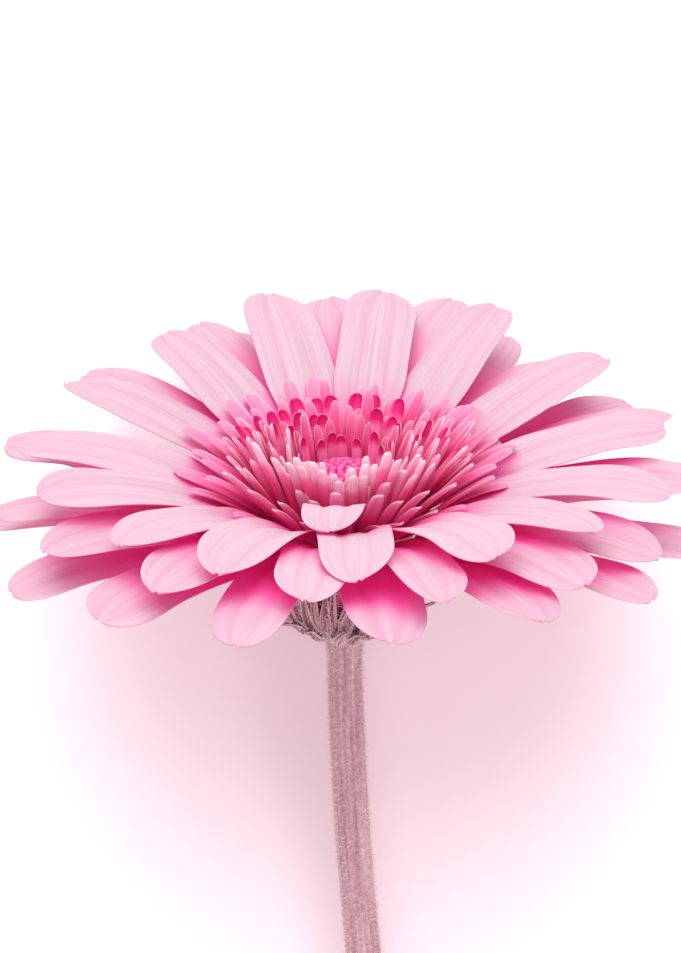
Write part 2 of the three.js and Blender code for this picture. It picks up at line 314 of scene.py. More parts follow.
petal_tissue = petal(0.27)
rays = []
for w, whorl in enumerate(WHORLS):
    for i in range(PER_WHORL):
        k = i + 1 + w * 20
        turn = whorl["turn"] + i * 360 / PER_WHORL + 1.3 * vary(k, 1)
        over = math.sin(math.radians(turn))
        ray = dict(whorl, k=k, turn=turn, number=i + 1)
        ray["length"] = whorl["length"] + 1.6 * vary(k, 2) - 2.4 * max(0, over) ** 6
        ray["width"] = RAY_WIDTH * (1 + 0.07 * vary(k, 3))
        ray["rise"] = whorl["rise"] + 1.2 * vary(k, 4) + whorl["lift"] * over**2
        ray["tip"] = whorl["tip"] + 5 * vary(k, 5) - 9 * over
        ray["roll"] = 8 * vary(k, 6)
        ray["sway"] = 1.2 * vary(k, 7)
        ray["cup"] = 0.08 * vary(k, 8)
        ray["notch"] = 0.25 * vary(k, 9)
        # Painted shade: how far out the deep pink base reaches, most of all over the stem.
        ray["deep"] = whorl["deep"] * max(0, over) ** 2 + 0.04 * vary(k, 10)
        # A floret bends at least as far as those it lies on, until it is clear of the surface.
        near = [
            o["bend"] for o in rays
            if o["base"] < ray["base"] and math.cos(math.radians(o["turn"] - turn)) > REACH
        ]
        ray["bend"] = max([0, *near])
        ray["rise"] += ray["bend"]
        ray["tip"] += ray["bend"]
        while lowest(ray) < CONTACT:
            ray["bend"] += BEND_STEP
            ray["rise"] += BEND_STEP
            ray["tip"] += BEND_STEP
        rays.append(ray)

rays.append(SMALL_RAY)

for ray in rays:
    name = f"petal_{ray['name']}_{ray['number']:02d}"
    mesh = blade(name, 40, 14, ray_blade(ray), tone=vary(ray["k"], 10), deep=ray["deep"])
    mesh.transform(in_head @ Matrix.Rotation(math.radians(ray["turn"]), 4, "Z"))
    piece = bpy.data.objects.new(name, mesh)
    bpy.context.collection.objects.link(piece)
    mesh.materials.append(petal_tissue)
    numbered = f"ray_{ray['name']}_{ray['number']:02d}"
    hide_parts("ray_small" if ray is SMALL_RAY else numbered)
    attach(piece, "root")


# ---------------------------------------------------------------------------------------------
# Receptacle: the fleshy pad inside the cup that every floret and bract grows from. Little of it
# shows, so the frame's own solid is kept and gets the finish of cut plant flesh.
RECEPTACLE_R = 11.2
RECEPTACLE_TOP = 3.2


def dome(r):
    """Height of the receptacle's domed top at a radius, in mm."""
    return RECEPTACLE_TOP - 3.4 * (r / RECEPTACLE_R) ** 2


def plant_flesh():
    """Soft green-white tissue, painted dark pink for the shade and the pink light of the florets
    round it: matt, with a coarse grain.
    """
    made, tree = new_material("plant flesh, matt")
    place = node(tree, "ShaderNodeTexCoord").outputs["Object"]
    grain = node(tree, "ShaderNodeTexNoise", {"Vector": place, "Scale": 900.0, "Detail": 3.0})
    colour = node(
        tree, "ShaderNodeValToRGB", {"Fac": grain},
        stops=[(0.35, "#a83c68"), (0.65, "#c9678d")],
    )
    bumps = node(tree, "ShaderNodeBump", {"Height": grain, "Distance": 0.0002})
    skin = node(
        tree, "ShaderNodeBsdfPrincipled",
        {"Base Color": colour, "Roughness": 0.8, "Normal": bumps},
    )
    node(tree, "ShaderNodeOutputMaterial", {"Surface": skin})
    return made


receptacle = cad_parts["receptacle"]
receptacle.data.materials.clear()
receptacle.data.materials.append(plant_flesh())


# ---------------------------------------------------------------------------------------------
# Short ray florets and disc florets: rings of small fleshy fingers that crowd the receptacle,
# each a strap hollowed towards the middle. One tree sets any ring of them on its circle.
FRONT_FOCUS = 1.3


def new_tree(name, kinds):
    """A tree that gives out a geometry, with the sockets of the named inputs that it takes."""
    tree = bpy.data.node_groups.new(name, "GeometryNodeTree")
    tree.interface.new_socket(
        name="Geometry", in_out="OUTPUT", socket_type="NodeSocketGeometry"
    )
    for label, kind in kinds:
        tree.interface.new_socket(name=label, in_out="INPUT", socket_type="NodeSocket" + kind)
    return tree, node(tree, "NodeGroupInput").outputs


def on_circle(tree, radius, turn, height):
    """A point by its distance and angle round the head's axis, and its height."""
    spot = node(tree, "ShaderNodeCombineXYZ", {"Z": height})
    for axis, wave in (("X", "COSINE"), ("Y", "SINE")):
        share = node(tree, "ShaderNodeMath", {0: turn}, operation=wave)
        reach = node(tree, "ShaderNodeMath", {0: radius, 1: share}, operation="MULTIPLY")
        tree.links.new(reach.outputs[0], spot.inputs[axis])
    return spot


def ring_tree():
    tree, given = new_tree("ring of florets", (
        ("Count", "Int"), ("Radius", "Float"), ("Foot", "Float"), ("Phase", "Float"),
        ("Turn Jitter", "Float"), ("Lean Jitter", "Float"), ("Size Jitter", "Float"),
        ("Front Lift", "Float"), ("Front Shrink", "Float"), ("Seed", "Int"),
        ("First", "Object"), ("Second", "Object"), ("Third", "Object"), ("Finish", "Material"),
    ))
    # Each floret draws six numbers: four from -1 to 1, which shape it has, and its own shade.
    spans = [("FLOAT", {2: -1.0, 3: 1.0})] * 4
    spans += [("INT", {4: 0, 5: 2}), ("FLOAT", {2: 0.0, 3: 1.0})]
    draws = []
    for shift, (kind, span) in enumerate(spans, 1):
        seed = node(tree, "ShaderNodeMath", {0: given["Seed"], 1: shift}, operation="ADD")
        draws.append(
            node(tree, "FunctionNodeRandomValue", {**span, "Seed": seed}, data_type=kind)
        )
    turn_draw, lean_draw, sway_draw, size_draw, shape_draw, shade_draw = draws

    index = node(tree, "GeometryNodeInputIndex")
    rank = node(tree, "ShaderNodeMath", {0: index, 1: given["Phase"]}, operation="ADD")
    share = node(tree, "ShaderNodeMath", {0: rank, 1: given["Count"]}, operation="DIVIDE")
    even = node(tree, "ShaderNodeMath", {0: share, 1: math.tau}, operation="MULTIPLY")
    jitter = node(
        tree, "ShaderNodeMath", {0: turn_draw, 1: given["Turn Jitter"]}, operation="MULTIPLY"
    )
    turn = node(tree, "ShaderNodeMath", {0: even, 1: jitter}, operation="ADD")
    spot = on_circle(tree, given["Radius"], turn, given["Foot"])
    points = node(tree, "GeometryNodePoints", {"Count": given["Count"], "Position": spot})
    shapes = node(tree, "GeometryNodeJoinGeometry")
    for name in ("Third", "Second", "First"):
        shape = node(tree, "GeometryNodeObjectInfo", {"Object": given[name], "As Instance": True})
        tree.links.new(shape.outputs["Geometry"], shapes.inputs[0])

    # The florets over the stem stand more upright than the rest of their ring, and are smaller.
    front = node(tree, "ShaderNodeMath", {0: turn}, operation="SINE")
    front = node(tree, "ShaderNodeMath", {0: front, 1: 0.0}, operation="MAXIMUM")
    front = node(tree, "ShaderNodeMath", {0: front, 1: FRONT_FOCUS}, operation="POWER")
    upright = node(tree, "ShaderNodeMath", {0: front, 1: given["Front Lift"]}, operation="MULTIPLY")
    sway = node(
        tree, "ShaderNodeMath", {0: sway_draw, 1: given["Lean Jitter"]}, operation="MULTIPLY"
    )
    aside = node(
        tree, "ShaderNodeMath", {0: lean_draw, 1: given["Lean Jitter"]}, operation="MULTIPLY"
    )
    back = node(tree, "ShaderNodeMath", {0: sway, 1: upright}, operation="SUBTRACT")
    lean = node(tree, "ShaderNodeCombineXYZ", {"X": aside, "Y": back, "Z": turn})
    grow = node(
        tree, "ShaderNodeMath", {0: size_draw, 1: given["Size Jitter"]}, operation="MULTIPLY"
    )
    full = node(tree, "ShaderNodeMath", {0: 1.0, 1: grow}, operation="ADD")
    less = node(tree, "ShaderNodeMath", {0: front, 1: given["Front Shrink"]}, operation="MULTIPLY")
    size = node(tree, "ShaderNodeMath", {0: full, 1: less}, operation="SUBTRACT")
    placed = node(tree, "GeometryNodeInstanceOnPoints", {
        "Points": points, "Instance": shapes, "Pick Instance": True,
        "Instance Index": shape_draw, "Rotation": lean, "Scale": size,
    })
    own = node(
        tree, "GeometryNodeStoreNamedAttribute",
        {"Geometry": placed, "Name": "each", "Value": shade_draw},
        data_type="FLOAT", domain="INSTANCE",
    )
    real = node(tree, "GeometryNodeRealizeInstances", {"Geometry": own})
    done = node(tree, "GeometryNodeSetMaterial", {"Geometry": real, "Material": given["Finish"]})
    node(tree, "NodeGroupOutput", {"Geometry": done})
    return tree


def grown(name, tree, values, start=None):
    """Runs a tree on its own, or on a mesh, and returns what it makes as a plain mesh."""
    host = bpy.data.objects.new(name, start or bpy.data.meshes.new(name))
    bpy.context.collection.objects.link(host)
    grow = host.modifiers.new("grow", "NODES")
    grow.node_group = tree
    for socket in tree.interface.items_tree:
        if socket.in_out == "INPUT" and socket.name in values:
            grow[socket.identifier] = values[socket.name]
    graph = bpy.context.evaluated_depsgraph_get()
    mesh = bpy.data.meshes.new_from_object(host.evaluated_get(graph))
    host.modifiers.clear()
    bpy.data.objects.remove(host)
    mesh.name = name
    return mesh


def settle(name, meshes, place, slot, *nodes):
    """Joins meshes into one piece, names it, puts it in the frame and hides the parts it stands
    for.
    """
    parts = []
    for mesh in meshes:
        part = bpy.data.objects.new(name, mesh)
        bpy.context.collection.objects.link(part)
        parts.append(part)
    with bpy.context.temp_override(
        active_object=parts[0], selected_objects=parts, selected_editable_objects=parts
    ):
        if len(parts) > 1:
            bpy.ops.object.join()
    piece = parts[0]
    piece.name = name
    piece.data.transform(place)
    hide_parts(*nodes)
    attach(piece, "root")
    return piece


def floret_tissue(name, inner, outer, rim, glow_share=0.36):
    """Tissue of a small floret: ribbed along its length, satin, deep pink in its hollow and pale
    at its back, with a painted highlight along the rims of its upper part and a soft glow where
    light comes through it."""
    made, tree = new_material(name)
    uv = node(tree, "ShaderNodeUVMap", uv_map="UVMap")
    part = node(tree, "ShaderNodeSeparateXYZ", {"Vector": uv})
    across, along = part.outputs["X"], part.outputs["Y"]
    each = node(tree, "ShaderNodeAttribute", attribute_name="each").outputs["Fac"]
    moved = node(tree, "ShaderNodeMapRange", {"Value": each, "To Min": -0.05, "To Max": 0.05})
    place = node(tree, "ShaderNodeMath", {0: along, 1: moved}, operation="ADD")
    back = node(tree, "ShaderNodeAttribute", attribute_name="under").outputs["Fac"]
    hollow = node(tree, "ShaderNodeValToRGB", {"Fac": place}, stops=inner)
    outside = node(tree, "ShaderNodeValToRGB", {"Fac": place}, stops=outer)
    colour = node(tree, "ShaderNodeMix", {"Factor": back, 6: hollow, 7: outside}, data_type="RGBA")
    streak = node(tree, "ShaderNodeCombineXYZ", {"X": across, "Y": along, "Z": each})
    stretched = node(tree, "ShaderNodeMapping", {"Vector": streak, "Scale": (9.0, 1.2, 31.0)})
    rib = node(tree, "ShaderNodeTexNoise", {"Vector": stretched, "Scale": 1.0, "Detail": 2.0})
    ribbed = node(
        tree, "ShaderNodeValToRGB", {"Fac": rib},
        stops=[(0.36, "#deb6ca"), (0.60, "#ffffff")],
    )
    colour = node(
        tree, "ShaderNodeMix", {"Factor": 0.30, 6: colour, 7: ribbed}, data_type="RGBA",
        blend_type="MULTIPLY",
    )
    # Painted highlight: the rims of the upper part are mixed towards the rim colour, as where light
    # catches the thin edges.
    edge = node(
        tree, "ShaderNodeMapRange",
        {"Value": off_middle(tree, across), "From Min": 0.36, "From Max": 0.5, "To Max": 0.75},
    )
    high = node(tree, "ShaderNodeMapRange", {"Value": place, "From Min": 0.25, "From Max": 0.60})
    edge = node(tree, "ShaderNodeMath", {0: edge, 1: high}, operation="MULTIPLY")
    colour = node(
        tree, "ShaderNodeMix", {"Factor": edge, 6: colour, 7: linear(rim)}, data_type="RGBA"
    )
    bumps = node(tree, "ShaderNodeBump", {"Height": rib, "Strength": 0.5, "Distance": 0.00015})
    skin = node(
        tree, "ShaderNodeBsdfPrincipled",
        {"Base Color": colour, "Roughness": 0.45, "Specular IOR Level": 0.4,
         "Normal": bumps},
    )
    glow = node(tree, "ShaderNodeBsdfTranslucent", {"Color": colour})
    mixed = node(tree, "ShaderNodeMixShader", {"Fac": glow_share, 1: skin, 2: glow})
    node(tree, "ShaderNodeOutputMaterial", {"Surface": mixed})
    return made


def finger(length, width, rise, tip, deep, point):
    """A small floret with its foot at the origin: point is 0 for a round tip, 1 for a sharp one."""
    at = midline(length, rise, tip)

    def place(u, v, side):
        s = 1 - (1 - u) ** 2.4
        x, z, slope = at(s)
        dome_end = 0.62 * width / length
        blunt = np.sqrt(1 - 0.97 * (np.clip(s - 1 + dome_end, 0, None) / dome_end) ** 2)
        sharp = 1 - 0.85 * smooth(s, 0.6, 1.0)
        full = width / 2 * (0.5 + 0.5 * smooth(s, 0, 0.6))
        half = full * (blunt * (1 - point) + sharp * point)
        thick = 0.14 * width * (1 - 0.5 * v**2) * (1 - 0.35 * s)
        cupped = deep * (1 + 0.15 * smooth(s, 0.5, 0.85))
        hood = (full - half) * 0.45 * (1 - 0.6 * point)
        up = cupped * (half * v**2 + hood) + side * thick / 2
        return x - up * np.sin(slope), half * v * (1 - 0.12 * deep * v**2), z + up * np.cos(slope)

    return place


# Each tissue's last colour is that of the painted highlight along its rims.
STRAP = floret_tissue(
    "short ray tissue, ribbed and satin",
    [(0.0, "#e81a88"), (0.25, "#f458a4"), (0.5, "#f08ebc"), (1.0, "#eab4cc")],
    [(0.0, "#f0208e"), (0.2, "#fa64b2"), (0.42, "#fba2d0"), (0.7, "#fbcbe2"), (1.0, "#ffffff")],
    "#f9d2e3",
)
FINGER = floret_tissue(
    "disc floret tissue, hooded and satin",
    [(0.0, "#e81a88"), (0.25, "#f970b6"), (0.42, "#fb94c8"), (0.54, "#e8288c"), (0.80, "#dc187e"),
     (0.92, "#f06cb0"), (1.0, "#fdbcdc")],
    [(0.0, "#f0208e"), (0.22, "#fa6cb6"), (0.45, "#fba4d0"), (0.75, "#fbc8e0"), (1.0, "#fdeaf2")],
    "#f796c2",
)
WHITE_TIP = floret_tissue(
    "disc floret tissue, white at the tip",
    [(0.0, "#e81a88"), (0.30, "#f65eaa"), (0.60, "#f68cbe"), (0.80, "#f8bad8"), (1.0, "#fde6f1")],
    [(0.0, "#f0208e"), (0.26, "#fc64b2"), (0.44, "#fea8d2"), (0.54, "#ffffff"), (1.0, "#ffffff")],
    "#ffffff", glow_share=0.56,
)
RING = ring_tree()
ROWS = [
    dict(name="short_rays", slot="short_florets", stands_for="ray_short", rings=[
        dict(count=32, inset=0.2, length=19.5, width=3.6, rise=37, tip=20, deep=0.30, point=0.2,
             lift=12, shrink=0.34, tissue=STRAP),
        dict(count=29, inset=0.8, length=18.0, width=3.2, rise=44, tip=34, deep=0.40, point=0.25,
             lift=15, shrink=0.28, tissue=STRAP),
        dict(count=38, inset=1.4, length=17.0, width=2.3, rise=49, tip=47, deep=0.50, point=0.3,
             lift=24, shrink=0.04, tissue=WHITE_TIP),
    ]),
    dict(name="disc_florets_outer", slot="disc_florets", stands_for="disc_outer", rings=[
        dict(count=34, inset=2.2, length=15.2, width=2.9, rise=54, tip=62, deep=0.62, point=0.0,
             lift=12, shrink=0.30, tissue=FINGER),
        dict(count=34, inset=2.9, length=14.2, width=2.2, rise=58, tip=68, deep=0.60, point=0.3,
             lift=10, shrink=0.02, tissue=WHITE_TIP),
    ]),
    dict(name="disc_florets_middle", slot="disc_florets", stands_for="disc_middle", rings=[
        dict(count=28, inset=3.6, length=12.8, width=2.7, rise=64, tip=76, deep=0.62, point=0.0,
             lift=4, shrink=0.30, tissue=FINGER),
        dict(count=26, inset=4.3, length=11.8, width=2.0, rise=70, tip=80, deep=0.60, point=0.3,
             lift=4, shrink=0.06, tissue=WHITE_TIP),
    ]),
    dict(name="disc_florets_inner", slot="disc_florets", stands_for="disc_inner", rings=[
        dict(count=20, inset=5.0, length=9.6, width=2.0, rise=76, tip=90, deep=0.62, point=0.0,
             lift=0, shrink=0.20, tissue=FINGER),
    ]),
]
for r, row in enumerate(ROWS):
    meshes = []
    for n, ring in enumerate(row["rings"]):
        shapes = []
        for j, (longer, wider) in enumerate(((1.0, 1.0), (0.9, 0.9), (1.07, 1.05))):
            shape = finger(
                ring["length"] * longer, ring["width"] * wider, ring["rise"],
                ring["tip"] + 6 * (j - 1), ring["deep"], ring["point"],
            )
            model = bpy.data.objects.new("floret", blade("floret", 12, 6, shape))
            bpy.context.collection.objects.link(model)
            shapes.append(model)
        radius = RECEPTACLE_R - ring["inset"]
        meshes.append(grown(row["name"], RING, {
            "Count": ring["count"], "Radius": radius, "Foot": dome(radius) + 0.1,
            "Phase": 0.5 * n, "Turn Jitter": 0.25 * math.tau / ring["count"],
            "Lean Jitter": math.radians(5), "Size Jitter": 0.09, "Seed": 40 * r + 7 * n,
            "Front Lift": math.radians(ring["lift"]), "Front Shrink": ring["shrink"],
            "First": shapes[0], "Second": shapes[1], "Third": shapes[2],
            "Finish": ring["tissue"],
        }))
        for model in shapes:
            bpy.data.objects.remove(model)
    settle(row["name"], meshes, in_head, row["slot"], row["stands_for"])


# ---------------------------------------------------------------------------------------------
# Unopened disc florets: round, five-lobed buds packed in a sunflower spiral on a low dome, the
# youngest and smallest in the middle.
BUD_ZONE_R = 5.6
BUD_D = 1.75
BUD_TOP = 9.8
BUD_COUNT = 78
BUD_DOME = 1.7
BUD_SIDES = 10
GOLDEN_TURN = math.pi * (3 - math.sqrt(5))
EDGE_LEAN = 0.45
# Shares of a bud's full width.
YOUNGEST, EDGE_GROWTH, CHANCE_GROWTH = 0.66, 0.35, 0.12


def bud_mesh():
    """One bud of unit width: a ring of lobes that meet at the top, on a short stalk."""
    profile = [(0.20, -1.6), (0.34, -0.6), (0.46, -0.1), (0.50, 0.18), (0.42, 0.42), (0.22, 0.55)]
    sides = BUD_SIDES
    points, faces, flat = [], [], []
    for level, (radius, height) in enumerate(profile):
        for i in range(sides):
            turn = math.tau * i / sides
            lobe = 1 + 0.10 * (level / 5) * math.cos(5 * turn)
            points.append((radius * lobe * math.cos(turn), radius * lobe * math.sin(turn), height))
            flat.append((i / sides, level / len(profile)))
    points += [(0, 0, 0.46), (0, 0, -1.6)]
    flat += [(0.5, 1.0), (0.5, 0.0)]
    last = (len(profile) - 1) * sides
    for i in range(sides):
        j = (i + 1) % sides
        for level in range(len(profile) - 1):
            a = level * sides
            faces.append((a + i, a + j, a + sides + j, a + sides + i))
        faces.append((last + i, last + j, len(points) - 2))
        faces.append((j, i, len(points) - 1))
    mesh = bpy.data.meshes.new("bud")
    mesh.from_pydata(points, [], faces)
    layer = mesh.uv_layers.new(name="UVMap").data
    for loop in mesh.loops:
        layer[loop.index].uv = flat[loop.vertex_index]
    mesh.shade_smooth()
    return mesh


def spiral_tree():
    tree, given = new_tree("spiral of buds", (
        ("Count", "Int"), ("Zone Radius", "Float"), ("Dome Height", "Float"), ("Top", "Float"),
        ("Bud Width", "Float"), ("Seed", "Int"), ("Bud", "Object"), ("Finish", "Material"),
    ))
    index = node(tree, "GeometryNodeInputIndex")
    rank = node(tree, "ShaderNodeMath", {0: index, 1: 0.5}, operation="ADD")
    share = node(tree, "ShaderNodeMath", {0: rank, 1: given["Count"]}, operation="DIVIDE")
    out = node(tree, "ShaderNodeMath", {0: share}, operation="SQRT")
    turn = node(tree, "ShaderNodeMath", {0: index, 1: GOLDEN_TURN}, operation="MULTIPLY")
    radius = node(tree, "ShaderNodeMath", {0: out, 1: given["Zone Radius"]}, operation="MULTIPLY")
    fall = node(tree, "ShaderNodeMath", {0: share, 1: given["Dome Height"]}, operation="MULTIPLY")
    height = node(tree, "ShaderNodeMath", {0: given["Top"], 1: fall}, operation="SUBTRACT")
    spot = on_circle(tree, radius, turn, height)
    points = node(tree, "GeometryNodePoints", {"Count": given["Count"], "Position": spot})
    bud = node(tree, "GeometryNodeObjectInfo", {"Object": given["Bud"], "As Instance": True})
    outwards = node(tree, "ShaderNodeMath", {0: out, 1: EDGE_LEAN}, operation="MULTIPLY")
    lean = node(tree, "ShaderNodeCombineXYZ", {"Y": outwards, "Z": turn})
    draw = node(tree, "FunctionNodeRandomValue", {2: 0.0, 3: 1.0, "Seed": given["Seed"]})
    # The buds are larger towards the edge, and each is a little larger or smaller by chance.
    older = node(tree, "ShaderNodeMath", {0: out, 1: EDGE_GROWTH}, operation="MULTIPLY")
    luck = node(tree, "ShaderNodeMath", {0: draw, 1: CHANCE_GROWTH}, operation="MULTIPLY")
    grow = node(tree, "ShaderNodeMath", {0: older, 1: luck}, operation="ADD")
    share = node(tree, "ShaderNodeMath", {0: YOUNGEST, 1: grow}, operation="ADD")
    size = node(tree, "ShaderNodeMath", {0: share, 1: given["Bud Width"]}, operation="MULTIPLY")
    placed = node(tree, "GeometryNodeInstanceOnPoints", {
        "Points": points, "Instance": bud.outputs["Geometry"], "Rotation": lean, "Scale": size,
    })
    own = node(
        tree, "GeometryNodeStoreNamedAttribute",
        {"Geometry": placed, "Name": "each", "Value": draw},
        data_type="FLOAT", domain="INSTANCE",
    )
    real = node(tree, "GeometryNodeRealizeInstances", {"Geometry": own})
    done = node(tree, "GeometryNodeSetMaterial", {"Geometry": real, "Material": given["Finish"]})
    node(tree, "NodeGroupOutput", {"Geometry": done})
    return tree


bud_stops = [
    (0.0, "#a80a54"), (0.5, "#cf1670"), (0.76, "#e0307f"), (0.90, "#f287b8"), (1.0, "#d61c76"),
]
# The last colour here is that of the painted highlight along the buds' rims.
BUD_TISSUE = floret_tissue("bud tissue, waxy", bud_stops, bud_stops, "#ee7fb0", glow_share=0.1)
bud = bpy.data.objects.new("bud", bud_mesh())
bpy.context.collection.objects.link(bud)
bud_cluster = grown("disc_bud_cluster", spiral_tree(), {
    "Count": BUD_COUNT, "Zone Radius": BUD_ZONE_R, "Dome Height": BUD_DOME,
    "Top": BUD_TOP - 0.5 * BUD_D, "Bud Width": BUD_D, "Seed": 3, "Bud": bud,
    "Finish": BUD_TISSUE,
})
bpy.data.objects.remove(bud)
settle("disc_bud_cluster", [bud_cluster], in_head, "disc_buds", "disc_buds")


# ---------------------------------------------------------------------------------------------
# Involucre: the cup under the head, of narrow, pointed, hairy scales that overlap upwards in
# three whorls. The thin tips of some of the lowest stand away and curl.
BOWL_HEIGHT = 15.4
BOWL_RIM = -3.4
NECK_R = 3.2
NECK_GAP = 0.3
# The cup is hairy all over, so its lowest height for a hair is far below it.
CUP_HAIRS = dict(Density=2.2, Length=1.15, Lean=0.55, Seed=5, Lowest=-99.0)
# Shares of a hair's full length.
SHORTEST, LONGEST = 0.5, 1.2


def bowl(t, out):
    """Radius and height of the cup from the neck, t = 0, to the rim, t = 1, moved outwards."""
    a, b = BOWL_R - NECK_R, BOWL_HEIGHT
    sin, cos = np.sin(t * math.pi / 2), np.cos(t * math.pi / 2)
    steep = np.hypot(b * sin, a * cos)
    return NECK_R + a * sin + out * b * sin / steep, BOWL_RIM - b * cos - out * a * cos / steep


def bract(low, high, width, out, curl, twist):
    def place(s, v, side):
        t = low + (high - low) * s
        half = width / 2 * (0.62 + 0.85 * s - 1.40 * s**2.2)
        keel = 0.40 * np.exp(-((v / 0.28) ** 2)) * (1 - 0.6 * s) - 0.35 * v**2 * (1 - s)
        lift = out + 0.35 * s + curl * smooth(s, 0.62, 1.0) ** 1.5
        r, z = bowl(t, lift + keel + side * 0.22 * (1 - 0.6 * v**2))
        angle = twist * s - half * v / np.maximum(r, 4)
        return r * np.cos(angle), r * np.sin(angle), z

    return place


def bract_skin():
    """Thin leathery scale: dark mauve ribs, paler papery edges, matt."""
    made, tree = new_material("bract skin, ribbed and matt")
    uv = node(tree, "ShaderNodeUVMap", uv_map="UVMap")
    part = node(tree, "ShaderNodeSeparateXYZ", {"Vector": uv})
    across, along = part.outputs["X"], part.outputs["Y"]
    each = node(tree, "ShaderNodeAttribute", attribute_name="each").outputs["Fac"]
    streak = node(tree, "ShaderNodeCombineXYZ", {"X": across, "Y": along, "Z": each})
    stretched = node(tree, "ShaderNodeMapping", {"Vector": streak, "Scale": (11.0, 2.0, 23.0)})
    rib = node(tree, "ShaderNodeTexNoise", {"Vector": stretched, "Scale": 1.0, "Detail": 4.0})
    colour = node(
        tree, "ShaderNodeValToRGB", {"Fac": rib},
        stops=[(0.36, "#431523"), (0.52, "#7c3c49"), (0.68, "#c49aa1")],
    )
    edge = node(
        tree, "ShaderNodeMapRange",
        {"Value": off_middle(tree, across), "From Min": 0.30, "From Max": 0.5, "To Max": 0.7},
    )
    colour = node(
        tree, "ShaderNodeMix", {"Factor": edge, 6: colour, 7: linear("#dcbcc1")}, data_type="RGBA"
    )
    dark = node(
        tree, "ShaderNodeMapRange",
        {"Value": along, "From Min": 0.86, "From Max": 1.0, "To Min": 0.0, "To Max": 0.8},
    )
    colour = node(
        tree, "ShaderNodeMix", {"Factor": dark, 6: colour, 7: linear("#4a2029")}, data_type="RGBA"
    )
    bumps = node(tree, "ShaderNodeBump", {"Height": rib, "Strength": 0.6, "Distance": 0.0002})
    skin = node(
        tree, "ShaderNodeBsdfPrincipled",
        {"Base Color": colour, "Roughness": 0.75, "Sheen Weight": 0.25,
         "Normal": bumps},
    )
    node(tree, "ShaderNodeOutputMaterial", {"Surface": skin})
    return made


def hair_tree():
    """Stands hairs on a mesh, leaning at random, wherever it is higher than Lowest."""
    tree, given = new_tree("coat of hairs", (
        ("Geometry", "Geometry"), ("Density", "Float"), ("Length", "Float"), ("Lean", "Float"),
        ("Lowest", "Float"), ("Seed", "Int"), ("Hair", "Object"), ("Finish", "Material"),
    ))
    height = node(
        tree, "ShaderNodeSeparateXYZ", {"Vector": node(tree, "GeometryNodeInputPosition")}
    ).outputs["Z"]
    clear = node(
        tree, "FunctionNodeCompare", {0: height, 1: given["Lowest"]}, operation="GREATER_THAN"
    )
    spread = node(
        tree, "GeometryNodeDistributePointsOnFaces",
        {"Mesh": given["Geometry"], "Selection": clear, "Density": given["Density"],
         "Seed": given["Seed"]},
    )
    away = node(
        tree, "FunctionNodeRandomValue", {0: (-1, -1, -1), 1: (1, 1, 1), "Seed": given["Seed"]},
        data_type="FLOAT_VECTOR",
    )
    bent = node(tree, "ShaderNodeVectorMath", {0: away, "Scale": given["Lean"]}, operation="SCALE")
    aim = node(
        tree, "ShaderNodeVectorMath", {0: spread.outputs["Normal"], 1: bent}, operation="ADD"
    )
    turned = node(tree, "FunctionNodeAlignRotationToVector", {"Vector": aim}, axis="Z")
    long = node(tree, "FunctionNodeRandomValue", {2: SHORTEST, 3: LONGEST, "Seed": given["Seed"]})
    size = node(tree, "ShaderNodeMath", {0: long, 1: given["Length"]}, operation="MULTIPLY")
    hair = node(tree, "GeometryNodeObjectInfo", {"Object": given["Hair"], "As Instance": True})
    coat = node(tree, "GeometryNodeInstanceOnPoints", {
        "Points": spread.outputs["Points"], "Instance": hair.outputs["Geometry"],
        "Rotation": turned, "Scale": size,
    })
    real = node(tree, "GeometryNodeRealizeInstances", {"Geometry": coat})
    done = node(tree, "GeometryNodeSetMaterial", {"Geometry": real, "Material": given["Finish"]})
    both = node(tree, "GeometryNodeJoinGeometry", {0: done})
    tree.links.new(given["Geometry"], both.inputs[0])
    node(tree, "NodeGroupOutput", {"Geometry": both})
    return tree


def plant_hair():
    """Fine colourless hairs, which look white and silky where light catches them. They are
    drawn thicker than real ones, so that they show."""
    made, tree = new_material("plant hair, silky")
    skin = node(
        tree, "ShaderNodeBsdfPrincipled",
        {"Base Color": linear("#f3e2e5"), "Roughness": 0.5, "Sheen Weight": 0.3},
    )
    glow = node(tree, "ShaderNodeBsdfTranslucent", {"Color": linear("#fbeef0")})
    mixed = node(tree, "ShaderNodeMixShader", {"Fac": 0.4, 1: skin, 2: glow})
    node(tree, "ShaderNodeOutputMaterial", {"Surface": mixed})
    return made


def hair_mesh(thickness):
    """A hair of unit length: a slender three-sided point."""
    points = [(thickness * math.cos(a), thickness * math.sin(a), 0) for a in (0, 2.09, 4.19)]
    points.append((0, 0, 1))
    mesh = bpy.data.meshes.new("hair")
    mesh.from_pydata(points, [], [(0, 1, 3), (1, 2, 3), (2, 0, 3), (2, 1, 0)])
    return mesh


